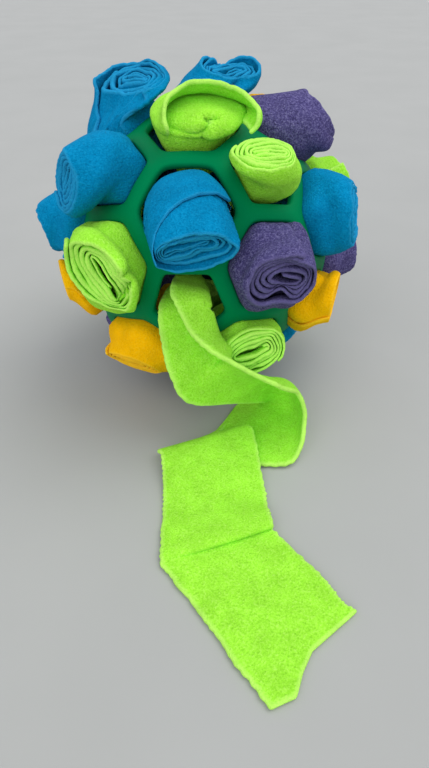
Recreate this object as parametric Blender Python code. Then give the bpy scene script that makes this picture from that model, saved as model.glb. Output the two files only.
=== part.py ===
"""Rubber lattice ball stuffed with rolled fleece strips, one strip pulled half out.

Metres, +Z up. The front of the ball faces -Y. The origin is on the surface the
ball rests on, in the middle of the footprint.
"""

import math
from typing import NamedTuple

import bmesh
import bpy
import numpy as np
from mathutils import Euler, Vector

MM = 0.001

# The moulded ball: a football pattern of 12 five-sided and 20 six-sided holes
BALL_RADIUS = 75 * MM
WALL = 5 * MM
RIB_WIDTH = 9.2 * MM
RIM_BEVEL = 1.3 * MM
CORNER_FILLET = 1.6 * MM
BALL_TURN = Euler((math.radians(-23.6), math.radians(5.2), math.radians(11.8)), "XYZ")
BALL_HEIGHT = 85 * MM  # centre over the table: the bottom rolls hold the ball up

# The rolls: each is one fleece strip wound up and pushed into a hole
ROLL_CORE = 14 * MM  # distance of a roll's inner end from the ball's centre
ROLL_BELLY = 59 * MM  # where a roll swells again, under the ribs
BELLY_SWELL = 2.4 * MM
ROLL_NECK = 66 * MM
INSIDE_STATIONS = 4  # sections of a roll up to the ball's surface
HOLE_PLAY = 0.5 * MM  # squeezed roll to rib
OVER_RIB = 1.0 * MM  # flared roll over the ball's surface
OUTSIDE_SHARES = (0.32, 0.62, 0.88, 1.0)  # sections on a roll's way out to its mouth
FULL_WIDTH_SHARE = 0.62
STEP_OUT = 2.2 * MM  # least rise of each section outside over the one before
FLAT_STEP = 1.5 * MM  # least rise of each section over the one that rests on the table
SIDES = 12  # points a turn
SEEN_TURNS = 1.5  # turns of the groove in a mouth that shows
BACK_TURNS = 0.75
FLAP = 0.14  # step of the outer flap, as a share of the roll's radius
PITCH = 0.28  # turn to turn of the groove
GROOVE = 0.035
MOUTH_ROUNDING = 0.93

# The loose strip
STRIP_THICKNESS = 2.6 * MM
STRIP_OFF_BALL = 4 * MM  # middle of the hanging cloth to the ball
FREE_STATION = 2  # first station outside the ball
STRIP_COLUMNS = 6
FLAT_BULGE = 0.01 * MM  # stands in for none, so every row is an arc
STEPS_PER_STATION = 2
TONGUE = {0: 17, 0.17: 18, 0.33: 11, 0.5: 5.5, 1: 0}  # end cut: mm past the last row, by share across
TONGUE_ROWS = 4

COLOURS = {
    "green_rubber": (0.0, 0.19, 0.065),
    "lime_fleece": (0.33, 0.91, 0.045),
    "blue_fleece": (0.003, 0.23, 0.52),
    "purple_fleece": (0.10, 0.08, 0.28),
    "yellow_fleece": (1.0, 0.53, 0.0),
}


class Roll(NamedTuple):
    """One roll: where its mouth is, seen from the ball's centre, and how it is shaped.

    Angles are in degrees, azimuth 0 to the front and +90 to the right; sizes in mm.
    """

    place: str
    colour: str
    azimuth: float
    elevation: float
    reach: float
    face_azimuth: float
    face_elevation: float
    long_radius: float
    short_radius: float
    slope: float  # turn of the long radius about the mouth's normal
    spin: float  # where the outer flap ends
    dish: float  # how far the middle of the mouth stands out
    lobes: int
    lobe_depth: float


ROLLS = (
    Roll("front", "blue", 0, 22, 98, 12, -24, 19.5, 18.5, 12, 200, -3, 2, 0.03),
    Roll("top", "lime", 11, 64, 93, 4, 60, 23, 19, 0, 40, -4, 3, 0.08),
    Roll("right_shoulder", "lime", 29, 45, 92, 8, 60, 16.5, 15.5, 0, 120, 1, 2, 0.02),
    Roll("lower_right", "purple", 24, 8.5, 97, 14, -16, 19.5, 18, 10, 60, -3, 2, 0.05),
    Roll("lower_left", "lime", -31.5, 9, 96, -38, -14, 23, 20, -40, 150, -3, 2, 0.05),
    Roll("left_shoulder", "blue", -51, 33, 100, -62, 10, 20.5, 19, 80, 20, -4, 2, 0.04),
    Roll("top_left", "blue", -121, 61, 98, -60, 72, 25, 23, 20, 260, -3, 3, 0.06),
    Roll("top_back", "blue", 154, 63, 101, 140, 66, 21, 19, 0, 90, -5, 2, 0.12),
    Roll("top_right", "purple", 93, 45, 95, 96, 44, 21, 21, 0, 300, 4, 2, 0.03),
    Roll("right", "blue", 69, 19, 90, 74, 8, 25, 19, 90, 30, 3, 3, 0.04),
    Roll("left", "blue", -82, 13, 95, -84, 2, 19, 18, 0, 80, -2, 2, 0.05),
    Roll("low_front_right", "lime", 22.5, -22, 89, 6, 4, 17, 16.5, 15, 330, 0, 2, 0.02),
    Roll("low_front_left", "yellow", -31, -29, 89, -26, -40, 18.5, 17, 0, 170, -2, 2, 0.04),
    Roll("low_left", "yellow", -66, -9, 86, -66, -12, 17, 17, 0, 10, -2, 2, 0.03),
    Roll("low_right", "yellow", 58, -10, 88, 72, -5, 17, 17, 0, 210, 2, 2, 0.04),
    Roll("right_back", "purple", 100, -9, 94, 100, -11, 18, 18, 0, 75, -2, 2, 0.04),
    Roll("back_right_shoulder", "lime", 112, 17, 95, 112, 18, 15.5, 15, 0, 130, -1, 2, 0.02),
    Roll("back_top_right", "yellow", 149, 36, 99, 150, 40, 18, 17, 0, 240, -2, 2, 0.04),
    Roll("back_top_left", "purple", -159, 31, 95, -160, 28, 18, 17.5, 0, 15, -2, 2, 0.04),
    Roll("back_left_shoulder", "lime", -121, 15, 94, -122, 12, 15.5, 15, 0, 100, -2, 2, 0.03),
    Roll("back", "blue", 175, 3, 94, 175, 0, 15.5, 15, 0, 190, -2, 2, 0.03),
    Roll("back_right", "blue", 139, -8, 95, 140, -10, 18, 17.5, 0, 280, -2, 2, 0.04),
    Roll("back_left", "lime", -149, -10, 95, -149, -12, 18, 17, 0, 320, -2, 2, 0.04),
    Roll("low_back_left", "blue", -107, -19, 94, -108, -20, 18, 17, 0, 50, -2, 2, 0.04),
    Roll("low_back_right", "lime", 126, -43, 92, 126, -40, 15, 15, 0, 160, -1, 2, 0.02),
    Roll("low_back", "purple", 174, -35, 94, 174, -34, 18, 17, 0, 230, -2, 2, 0.04),
    Roll("low_back_far_left", "yellow", -139, -46, 92, -139, -42, 15, 15, 0, 340, -1, 2, 0.02),
    Roll("under_left", "purple", -79, -55, 82, -79, -56, 14.5, 14.5, 0, 70, 0, 2, 0.02),
    Roll("under_right", "blue", 71, -51, 82, 71, -52, 14.5, 14.5, 0, 110, 0, 2, 0.02),
    Roll("under_front", "purple", 0, -66, 94, 0, -66, 15, 15, 0, 140, 0, 2, 0.02),
    Roll("under", "lime", 166, -76, 91, 166, -80, 18, 17, 0, 260, 0, 2, 0.02),
)
SEEN_ROLLS = 18  # the first rows are the rolls the front view shows


class Station(NamedTuple):
    """Both edges of the loose strip at one fold or section, in mm from under the ball's centre."""

    left: tuple
    right: tuple
    bulge: float  # how far the middle stands off the line between the edges


STRIP_STATIONS = (
    Station((-10, -46, 87), (-9, -45, 80), 8),
    Station((-13, -62, 90), (-12, -60, 81), 12),
    Station((-13, -80, 91), (-16, -77, 81), 16),
    Station((-3, -91, 77), (-20, -83, 64), 21),
    Station((5, -97, 71), (-18, -90, 52), 17),
    Station((24, -99, 59), (-6, -93, 34), 10),
    Station((43, -95, 45), (20, -80, 23), 9),
    Station((54, -85, 32), (36, -66, 12), 9),
    Station((58, -90, 17), (37, -56, 4.5), 8),
    Station((51, -107, 4), (32, -55, 2.8), 2),
    Station((31, -108, 1.8), (28, -56, 1.6), 0),
    Station((4, -106, 1.6), (22, -58, 1.6), 0),
    Station((-14, -103, 1.6), (14, -71, 1.6), 0),
    Station((-24, -101, 4.2), (6, -76, 4.4), 0),
    Station((-20, -104, 7.5), (15, -82, 7.8), 0.5),
    Station((-19.5, -107, 8), (26.5, -84, 9), 1),
    Station((-18.5, -114, 6), (29.5, -92, 7.5), 1),
    Station((-18, -124, 3), (31, -108, 5), 1),
    Station((-17.5, -138, 1.6), (33, -128, 1.8), 0.5),
    Station((-17, -157, 2.4), (35, -147, 3.4), 1),
    Station((-12, -172, 1.6), (40, -158, 1.6), 0),
    Station((2.6, -197, 1.6), (56, -180, 1.6), 0),
    Station((13, -213, 1.6), (62, -191, 1.6), 0),
    Station((19, -221, 1.6), (67.5, -196, 1.6), 0),
)


def material(slot):
    """One Principled material for a slot name."""
    mat = bpy.data.materials.get(slot)
    if mat is None:
        mat = bpy.data.materials.new(slot)
        mat.use_nodes = True
        shader = mat.node_tree.nodes["Principled BSDF"]
        shader.inputs["Base Color"].default_value = (*COLOURS[slot], 1)
        shader.inputs["Metallic"].default_value = 0
        shader.inputs["Roughness"].default_value = 0.45 if slot == "green_rubber" else 0.95
    return mat


def add_object(name, slot, bm):
    """Turn a bmesh into a named object with its material."""
    mesh = bpy.data.meshes.new(name)
    bm.to_mesh(mesh)
    bm.free()
    ob = bpy.data.objects.new(name, mesh)
    bpy.context.collection.objects.link(ob)
    mesh.materials.append(material(slot))
    mesh.shade_smooth()
    mesh.set_sharp_from_angle(angle=math.radians(45))
    return ob


def aim(azimuth, elevation):
    """Unit vector of a direction in degrees, azimuth 0 towards -Y and +90 towards +X."""
    a = math.radians(azimuth)
    e = math.radians(elevation)
    return Vector((math.sin(a) * math.cos(e), -math.cos(a) * math.cos(e), math.sin(e)))


def football():
    """The 32-faced football solid, turned as the ball lies."""
    bm = bmesh.new()
    bmesh.ops.create_icosphere(bm, subdivisions=1, radius=BALL_RADIUS)
    bmesh.ops.bevel(
        bm, geom=bm.verts[:], offset=100 / 3, offset_type="PERCENT", affect="VERTICES"
    )
    bmesh.ops.rotate(bm, verts=bm.verts, matrix=BALL_TURN.to_matrix())
    for vert in bm.verts:
        vert.co = vert.co.normalized() * BALL_RADIUS
    return bm


def hole_axes():
    """Each hole's direction and the inner radius of its rim, from the football's faces."""
    bm = football()
    holes = []
    for face in bm.faces:
        centre = face.calc_center_median()
        edge = face.edges[0]
        middle = (edge.verts[0].co + edge.verts[1].co) / 2
        holes.append((centre.normalized(), (middle - centre).length - RIB_WIDTH / 2))
    bm.free()
    return holes


def lattice_ball():
    """The rubber ball: ribs left between the insets of the football's faces."""
    bm = football()
    panels = bm.faces[:]
    bmesh.ops.inset_individual(bm, faces=panels, thickness=RIB_WIDTH / 2)
    hole_corners = []
    along = set()
    for panel in panels:
        centre = panel.calc_center_median()
        hole_corners += [(vert, centre) for vert in panel.verts]
        along.update(panel.edges)
    bmesh.ops.delete(bm, geom=panels, context="FACES_ONLY")
    on_rim = {vert for vert, _ in hole_corners}
    along.update(e for e in bm.edges if not on_rim.intersection(e.verts))
    for vert, centre in hole_corners:
        vert.co += (centre - vert.co).normalized() * CORNER_FILLET
    bmesh.ops.subdivide_edges(bm, edges=list(along), cuts=2, use_grid_fill=True)
    for vert in bm.verts:
        vert.co = vert.co.normalized() * BALL_RADIUS
    rim = bm.edges.layers.float.new("bevel_weight_edge")
    for edge in bm.edges:
        edge[rim] = 1.0 if edge.is_boundary else 0.0
    bmesh.ops.recalc_face_normals(bm, faces=bm.faces)
    ob = add_object("lattice_ball", "green_rubber", bm)
    solidify = ob.modifiers.new("wall", "SOLIDIFY")
    solidify.thickness = WALL
    solidify.offset = -1
    bevel = ob.modifiers.new("rims", "BEVEL")
    bevel.limit_method = "WEIGHT"
    bevel.width = RIM_BEVEL
    bevel.segments = 1
    return ob


def wound_blank(turns, stations):
    """A straight unit roll: a round blank with its outer flap and a spiral groove in its mouth.

    X and Y are shares of the radius; Z counts the stations from the inner end.
    """
    groove_steps = round(turns * SIDES)

    def spiral(step):
        """Radius of the wound surface, step by step inwards from the flap's end."""
        if step <= SIDES:
            return 1 - FLAP * step / SIDES
        return 1 - FLAP - PITCH * (step - SIDES) / SIDES

    def point(radius, step):
        angle = 2 * math.pi * step / SIDES
        return radius * math.cos(angle), radius * math.sin(angle), stations - 2

    bm = bmesh.new()
    outer = [bm.verts.new(point(spiral(k), k)) for k in range(groove_steps + SIDES + 1)]
    inner = [bm.verts.new(point(spiral(k + SIDES) + GROOVE, k)) for k in range(groove_steps + 1)]
    raised = []
    for k in range(groove_steps):
        raised.append(bm.faces.new((outer[k], outer[k + 1], inner[k + 1], inner[k])))
    core = bm.faces.new([inner[-1]] + outer[groove_steps:])
    raised += bmesh.ops.poke(bm, faces=[core])["faces"]
    for k in range(groove_steps):
        far = outer[k + SIDES : k + SIDES + 2]
        bm.faces.new((inner[k], inner[k + 1], far[1], far[0]))
    rim = [edge for edge in bm.edges if edge.is_boundary]

    mouth = bmesh.ops.extrude_face_region(bm, geom=raised)["geom"]
    bmesh.ops.delete(bm, geom=raised, context="FACES_ONLY")
    for item in mouth:
        if isinstance(item, bmesh.types.BMVert):
            item.co.z += 1
    for _ in range(stations - 2):
        lower = bmesh.ops.extrude_edge_only(bm, edges=rim)["geom"]
        rim = [item for item in lower if isinstance(item, bmesh.types.BMEdge)]
        for item in lower:
            if isinstance(item, bmesh.types.BMVert):
                item.co.z -= 1
    bmesh.ops.contextual_create(bm, geom=rim)
    return bm


def roll_sections(roll, axis, rim_radius):
    """Centre, normal and radii at each station of a roll, inner end first."""
    squeeze = rim_radius / BALL_RADIUS
    inside = {
        ROLL_CORE: 0,
        ROLL_BELLY: BELLY_SWELL,
        ROLL_NECK: -HOLE_PLAY,
        BALL_RADIUS + OVER_RIB: -HOLE_PLAY,
    }
    sections = []
    for distance, play in inside.items():
        radius = squeeze * distance + play
        sections.append((axis * distance, axis, radius, radius))
    tip = aim(roll.azimuth, roll.elevation) * roll.reach * MM
    face = aim(roll.face_azimuth, roll.face_elevation)
    start, _, neck, _ = sections[-1]
    pull = (tip - start).length
    for share in OUTSIDE_SHARES:
        a = 2 * share**3 - 3 * share**2 + 1
        b = share**3 - 2 * share**2 + share
        c = share**3 - share**2
        centre = start * a + axis * pull * b + tip * (1 - a) + face * pull * c
        normal = axis.lerp(face, share).normalized()
        swell = math.sin(math.pi / 2 * min(1, share / FULL_WIDTH_SHARE))
        rounding = MOUTH_ROUNDING if share == 1 else 1
        long_radius = (neck + (roll.long_radius * MM - neck) * swell) * rounding
        short_radius = (neck + (roll.short_radius * MM - neck) * swell) * rounding
        sections.append((centre, normal, long_radius, short_radius))
    return sections


def fleece_roll(roll, seen, holes):
    """One wound fleece strip, bent from its hole to its mouth."""
    mouth = aim(roll.azimuth, roll.elevation)
    axis, rim_radius = max(holes, key=lambda hole: hole[0].dot(mouth))
    sections = roll_sections(roll, axis, rim_radius)
    bm = wound_blank(SEEN_TURNS if seen else BACK_TURNS, len(sections))
    across = aim(roll.face_azimuth + 90, 0)
    last = len(sections) - 1
    for vert in bm.verts:
        u, v, station = vert.co.x, vert.co.y, round(vert.co.z)
        centre, normal, long_radius, short_radius = sections[station]
        side = (across - normal * across.dot(normal)).normalized()
        top = normal.cross(side)
        radius = math.hypot(u, v)
        angle = math.atan2(v, u) + math.radians(roll.spin)
        outside = station > INSIDE_STATIONS - 1
        if outside:
            radius *= 1 + roll.lobe_depth * math.cos(roll.lobes * angle)
        slope = math.radians(roll.slope)
        along = long_radius * radius * math.cos(angle - slope)
        up = short_radius * radius * math.sin(angle - slope)
        x = along * math.cos(slope) - up * math.sin(slope)
        y = along * math.sin(slope) + up * math.cos(slope)
        out = roll.dish * MM * (1 - radius**2) if station >= last - 1 else 0
        co = centre + side * x + top * y + normal * out
        if outside:
            floor = BALL_RADIUS + OVER_RIB + STEP_OUT * (station - INSIDE_STATIONS)
            co *= max(1, floor / co.length)
        co.z = max(co.z, FLAT_STEP * (last - station) - BALL_HEIGHT)
        vert.co = co + Vector((0, 0, BALL_HEIGHT))
    bmesh.ops.recalc_face_normals(bm, faces=bm.faces)
    if bm.calc_volume(signed=True) < 0:
        bmesh.ops.reverse_faces(bm, faces=bm.faces)
    return add_object(f"roll_{roll.place}", f"{roll.colour}_fleece", bm)


def smooth_rows(rows):
    """Points on a Catmull-Rom curve through the rows, so a short table gives soft folds."""
    rows = np.array(rows, dtype=float)
    padded = np.vstack((2 * rows[0] - rows[1], rows, 2 * rows[-1] - rows[-2]))
    steps = np.arange(STEPS_PER_STATION) / STEPS_PER_STATION
    out = []
    for before, start, end, after in zip(padded, padded[1:], padded[2:], padded[3:]):
        for t in steps:
            out.append(
                start
                + 0.5 * t * (end - before)
                + t**2 * (before - 2.5 * start + 2 * end - 0.5 * after)
                + t**3 * (1.5 * (start - end) + 0.5 * (after - before))
            )
    out.append(rows[-1])
    return np.array(out)


def strip_surface():
    """Middle surface of the loose strip: rows along it, columns from edge to edge."""
    left = smooth_rows([s.left for s in STRIP_STATIONS]) * MM
    right = smooth_rows([s.right for s in STRIP_STATIONS]) * MM
    bulge = smooth_rows([[s.bulge] for s in STRIP_STATIONS])[:, 0] * MM
    run = np.gradient((left + right) / 2, axis=0)
    chord = right - left
    side = np.cross(run, chord)
    side /= np.linalg.norm(side, axis=1)[:, None]
    across = np.linspace(-1, 1, STRIP_COLUMNS + 1)
    rows = []
    for a, b, normal, height in zip(left, right, side, bulge):
        half = np.linalg.norm(b - a) / 2
        height = max(height, FLAT_BULGE)
        radius = (half**2 + height**2) / (2 * height)
        spread = 2 * math.atan(height / half)
        flat = (b - a) / (2 * half)
        middle = (a + b) / 2
        angle = across * spread
        rows.append(
            middle
            + np.outer(radius * np.sin(angle), flat)
            + np.outer(radius * np.cos(angle) - (radius - height), normal)
        )
    rows = np.array(rows)
    hanging = rows[FREE_STATION * STEPS_PER_STATION :]
    hanging -= (0, 0, BALL_HEIGHT)
    reach = np.linalg.norm(hanging, axis=2, keepdims=True)
    hanging *= np.maximum(1, (BALL_RADIUS + STRIP_OFF_BALL) / reach)
    hanging += (0, 0, BALL_HEIGHT)
    heading = rows[-1] - rows[-2]
    heading /= np.linalg.norm(heading, axis=1)[:, None]
    past = np.interp((across + 1) / 2, list(TONGUE), list(TONGUE.values())) * MM
    for back in range(TONGUE_ROWS):
        rows[-1 - back] += heading * past[:, None] * (1 - back / TONGUE_ROWS)
    return rows


def loose_strip():
    """The strip pulled out of the ball, twisting down and folded back once on the table."""
    rows = strip_surface()
    count, columns, _ = rows.shape
    bm = bmesh.new()
    grid = [[bm.verts.new(co) for co in row] for row in rows]
    for r in range(count - 1):
        for c in range(columns - 1):
            bm.faces.new((grid[r][c], grid[r + 1][c], grid[r + 1][c + 1], grid[r][c + 1]))
    ob = add_object("loose_strip", "lime_fleece", bm)
    solidify = ob.modifiers.new("thickness", "SOLIDIFY")
    solidify.thickness = STRIP_THICKNESS
    solidify.offset = 0
    return ob


def centre_footprint(objects):
    """Move everything so the origin is under the middle of the whole object's box."""
    bpy.context.view_layer.update()
    corners = np.array([ob.matrix_world @ Vector(c) for ob in objects for c in ob.bound_box])
    middle = (corners.min(axis=0) + corners.max(axis=0)) / 2
    for ob in objects:
        ob.location -= Vector((middle[0], middle[1], 0))


def main():
    for ob in list(bpy.data.objects):
        bpy.data.objects.remove(ob, do_unlink=True)
    ball = lattice_ball()
    ball.location.z = BALL_HEIGHT
    objects = [ball]
    holes = hole_axes()
    for number, roll in enumerate(ROLLS):
        objects.append(fleece_roll(roll, number < SEEN_ROLLS, holes))
    objects.append(loose_strip())
    centre_footprint(objects)


main()
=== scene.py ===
import math

import bmesh
import bpy
import numpy as np
from mathutils import Euler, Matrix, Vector


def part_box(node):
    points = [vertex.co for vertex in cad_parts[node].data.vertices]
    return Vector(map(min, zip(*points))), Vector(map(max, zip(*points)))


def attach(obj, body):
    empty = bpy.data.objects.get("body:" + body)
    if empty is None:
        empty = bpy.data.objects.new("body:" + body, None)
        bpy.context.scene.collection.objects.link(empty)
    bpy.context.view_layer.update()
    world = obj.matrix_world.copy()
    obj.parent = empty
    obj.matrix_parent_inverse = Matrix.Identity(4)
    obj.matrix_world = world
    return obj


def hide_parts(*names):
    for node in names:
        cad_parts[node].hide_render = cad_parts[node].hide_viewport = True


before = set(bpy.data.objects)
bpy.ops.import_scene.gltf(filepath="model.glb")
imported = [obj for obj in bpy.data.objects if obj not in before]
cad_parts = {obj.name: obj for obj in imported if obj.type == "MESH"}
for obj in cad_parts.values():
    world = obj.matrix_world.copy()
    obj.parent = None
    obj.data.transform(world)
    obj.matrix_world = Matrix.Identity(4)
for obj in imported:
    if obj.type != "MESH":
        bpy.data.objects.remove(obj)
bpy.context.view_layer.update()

print("frame loaded:", len(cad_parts), "nodes")

# All shapes are worked out in mm from the ball's centre, and placed in metres at the end.
mm = 0.001
ballCentre = np.array(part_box("lattice_ball")).mean(axis=0) / mm
tableHeight = -ballCentre[2]


def aim(azimuth, elevation):
    # direction of two angles in degrees: azimuth 0 is the front and +90 the right
    a, e = math.radians(azimuth), math.radians(elevation)
    return np.array((math.sin(a) * math.cos(e), -math.cos(a) * math.cos(e), math.sin(e)))


def unit(vectors):
    # each vector over its own length
    return vectors / np.maximum(np.linalg.norm(vectors, axis=-1, keepdims=True), 1e-9)


def ramp(x, low, high):
    # smooth step: 0 below low, 1 above high, with level ends
    t = np.clip((x - low) / (high - low), 0, 1)
    return t * t * (3 - 2 * t)


def ripples(x, y, size, seed):
    # soft noise of about -1 to 1: the sum of some sine waves in drawn directions, each about one
    # size long, over a sum that they seldom pass
    waves, highSum = 7, 2.6
    draw = np.random.default_rng(seed)
    total = 0
    for _ in range(waves):
        heading, phase = draw.uniform(0, 2 * math.pi, 2)
        pace = 2 * math.pi / (size * draw.uniform(0.7, 1.6))
        total = total + np.sin(pace * (x * math.cos(heading) + y * math.sin(heading)) + phase)
    return total / highSum


def toLinear(hexColour):
    # sRGB hex to linear red, green, blue and alpha
    parts = [int(hexColour[i:i + 2], 16) / 255 for i in (1, 3, 5)]
    return [p / 12.92 if p <= 0.04045 else ((p + 0.055) / 1.055) ** 2.4 for p in parts] + [1.0]


def addNode(tree, kind, inputs, **settings):
    # one node with its settings; an input is a value, or a socket to link from
    made = tree.nodes.new(kind)
    for name, value in settings.items():
        setattr(made, name, value)
    for name, value in inputs.items():
        if isinstance(value, bpy.types.NodeSocket):
            tree.links.new(value, made.inputs[name])
        else:
            made.inputs[name].default_value = value
    return made


def noise(tree, place, size, detail, roughness=0.5):
    # soft noise in patches of about this many mm
    made = addNode(tree, "ShaderNodeTexNoise", {
        "Vector": place, "Scale": 1 / (size * mm), "Detail": detail, "Roughness": roughness})
    return made.outputs["Fac"]


def stretch(tree, value, low, high):
    # the range that holds nearly all of a noise's values, stretched to run from low to high
    return addNode(tree, "ShaderNodeMapRange", {
        "Value": value, "From Min": 0.3, "From Max": 0.7, "To Min": low, "To Max": high}).outputs["Result"]


def newMaterial(name):
    # an empty material: its tree, its Object coordinates and its shader
    made = bpy.data.materials.new(name)
    made.use_nodes = True
    tree = made.node_tree
    place = addNode(tree, "ShaderNodeTexCoord", {}).outputs["Object"]
    return made, tree, place, tree.nodes["Principled BSDF"]


# Brushed polyester fleece: short raised fibres give a dull, soft, speckled face with no glossy highlight,
# a pale bloom at grazing angles, and cut edges painted paler: a painted highlight where their fuzz catches
# the light.
fleeceLooks = {
    "lime_fleece": {
        "deep": "#5FAE14", "body": "#9DEB3A", "tips": "#CCFF78", "cut": "#C8FC76", "speckle": 0.62},
    "blue_fleece": {
        "deep": "#004A76", "body": "#0080B0", "tips": "#1CA2D2", "cut": "#2A9CCB", "speckle": 0.6},
    "purple_fleece": {
        "deep": "#201B3C", "body": "#4F497A", "tips": "#807AA5", "cut": "#66608E", "speckle": 0.9},
    "yellow_fleece": {
        "deep": "#CC8600", "body": "#FDBC00", "tips": "#FFDA48", "cut": "#FFCC30", "speckle": 0.45},
}
# Sizes in mm; real tufts are about half as coarse. "contrast" is how far from its middle the noise is
# where the colour is deepest or palest, at a speckle of 1. "speckled" is how much of that colour
# shows, the edge share how much of the painted edge highlight's colour, and "worn" the mottling's darkest
# and palest share.
fleeceGrain = {
    "fibreTuft": 1.3, "fleck": 0.8, "mottling": 10, "bump": 0.65, "bumpStrength": 0.8,
    "contrast": 0.256, "speckled": 0.75, "edgeHighlightShare": 0.6, "worn": (0.89, 1.07)}


def brushedFleece(slot):
    # tufts plus flecks pick a colour from deep over body to tips, and raise the pile; cut edges are
    # mixed paler as a painted highlight, and the mottling multiplies it all
    look = fleeceLooks[slot]
    made, tree, place, shader = newMaterial("brushed_" + slot)
    tufts = noise(tree, place, fleeceGrain["fibreTuft"], 3.0, 0.65)
    flecks = noise(tree, place, fleeceGrain["fleck"], 1.0)
    mottling = noise(tree, place, fleeceGrain["mottling"], 2.0)
    both = addNode(tree, "ShaderNodeMath", {0: tufts, 1: flecks}, operation="ADD")
    spread = fleeceGrain["contrast"] / look["speckle"]
    shade = addNode(tree, "ShaderNodeMapRange", {
        "Value": both.outputs[0], "From Min": 1 - spread, "From Max": 1 + spread})
    colour = addNode(tree, "ShaderNodeValToRGB", {"Fac": shade.outputs["Result"]})
    stops = colour.color_ramp
    stops.elements[0].color = toLinear(look["deep"])
    stops.elements[1].color = toLinear(look["tips"])
    stops.elements.new(0.5).color = toLinear(look["body"])
    softer = addNode(tree, "ShaderNodeMix", {
        "Factor": look["speckle"] * fleeceGrain["speckled"], 6: toLinear(look["body"]),
        7: colour.outputs["Color"]}, data_type="RGBA")
    # painted highlight: the cloth's edges, marked by the mesh's edge attribute, are mixed towards a paler
    # colour
    cutEdge = addNode(tree, "ShaderNodeAttribute", {}, attribute_name="cutEdge")
    paleShare = addNode(tree, "ShaderNodeMath", {
        0: cutEdge.outputs["Fac"], 1: fleeceGrain["edgeHighlightShare"]}, operation="MULTIPLY")
    cut = addNode(tree, "ShaderNodeMix", {
        "Factor": paleShare.outputs[0], 6: softer.outputs[2], 7: toLinear(look["cut"])}, data_type="RGBA")
    toned = addNode(tree, "ShaderNodeVectorMath", {
        0: cut.outputs[2], "Scale": stretch(tree, mottling, *fleeceGrain["worn"])}, operation="SCALE")
    relief = addNode(tree, "ShaderNodeBump", {
        "Height": both.outputs[0], "Strength": fleeceGrain["bumpStrength"],
        "Distance": fleeceGrain["bump"] * mm})
    tree.links.new(toned.outputs["Vector"], shader.inputs["Base Color"])
    tree.links.new(relief.outputs["Normal"], shader.inputs["Normal"])
    shader.inputs["Roughness"].default_value = 0.95
    shader.inputs["Specular IOR Level"].default_value = 0.05
    shader.inputs["Sheen Weight"].default_value = 0.2
    shader.inputs["Sheen Roughness"].default_value = 0.45
    shader.inputs["Sheen Tint"].default_value = toLinear(look["tips"])
    return made


# Moulded natural rubber: one satin skin, faintly uneven in tone, a little duller where it was handled.
# "mottling", "skin" and "relief" in mm; "roughness" runs up to that of the handled places.
rubberLook = {
    "body": "#00834E", "shade": "#007344", "gloss": "#40D090", "mottling": 22, "skin": 0.7,
    "relief": 0.15, "reliefStrength": 0.12, "roughness": (0.5, 0.6)}


def mouldedRubber():
    # one coarse noise mixes the two greens and sets the gloss, and one fine noise is the skin's relief
    made, tree, place, shader = newMaterial("moulded_green_rubber")
    cloud = noise(tree, place, rubberLook["mottling"], 3.0)
    skin = noise(tree, place, rubberLook["skin"], 2.0)
    tone = addNode(tree, "ShaderNodeMix", {
        "Factor": cloud, 6: toLinear(rubberLook["shade"]), 7: toLinear(rubberLook["body"])},
        data_type="RGBA")
    relief = addNode(tree, "ShaderNodeBump", {
        "Height": skin, "Strength": rubberLook["reliefStrength"], "Distance": rubberLook["relief"] * mm})
    tree.links.new(tone.outputs[2], shader.inputs["Base Color"])
    tree.links.new(stretch(tree, cloud, *rubberLook["roughness"]), shader.inputs["Roughness"])
    tree.links.new(relief.outputs["Normal"], shader.inputs["Normal"])
    shader.inputs["IOR"].default_value = 1.52
    shader.inputs["Specular IOR Level"].default_value = 0.12
    shader.inputs["Specular Tint"].default_value = toLinear(rubberLook["gloss"])
    return made


materials = {slot: brushedFleece(slot) for slot in fleeceLooks}
materials["green_rubber"] = mouldedRubber()
print("materials made:", len(materials))


def gridFaces(rows, columns, first=0, around=False):
    # quads of a grid of points numbered row by row; around also joins its last row to its first
    index = first + np.arange(rows * columns).reshape(rows, columns)
    if around:
        index = np.vstack((index, index[:1]))
    corners = (index[:-1, :-1], index[1:, :-1], index[1:, 1:], index[:-1, 1:])
    return np.stack(corners, axis=-1).reshape(-1, 4)


def addPiece(name, points, quads, slot, node, cutEdge=None):
    # a mesh object of points in mm from the ball's centre, faces outwards by the sign of its volume
    points = np.asarray(points, dtype=float).reshape(-1, 3)
    a, b, c, d = (points[quads[:, i]] for i in range(4))
    volume = (np.cross(a, b) * c).sum() + (np.cross(a, c) * d).sum()
    if volume < 0:
        quads = quads[:, ::-1]
    mesh = bpy.data.meshes.new(name)
    mesh.from_pydata(((points + ballCentre) * mm).tolist(), [], quads.tolist())
    # the share of painted edge highlight at each point, kept as a point attribute
    if cutEdge is not None:
        layer = mesh.attributes.new("cutEdge", "FLOAT", "POINT")
        layer.data.foreach_set("value", np.ascontiguousarray(cutEdge, dtype=np.float32).ravel())
    mesh.shade_smooth()
    mesh.materials.append(materials[slot])
    piece = bpy.data.objects.new(name, mesh)
    bpy.context.scene.collection.objects.link(piece)
    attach(piece, "root")
    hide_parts(node)
    return piece


# The moulded ball: sizes in mm, angles in degrees. "crown" is how far a rib's sides lie below its
# middle, "cornerSharpness" the p of the holes' p-norm, "evenShare" how even the steps along a side
# are, and "weld" the distance at which the ribs' seams are joined.
ballShape = {
    "radius": 75, "wall": 5, "ribWidth": 9.2, "edgeRound": 1.9, "crown": 0.35, "cornerSharpness": 14,
    "stepsPerSide": 14, "evenShare": 0.35, "acrossSteps": 5, "roundSteps": 5, "weld": 0.02,
    "turn": (-23.6, 5.2, 11.8)}


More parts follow.
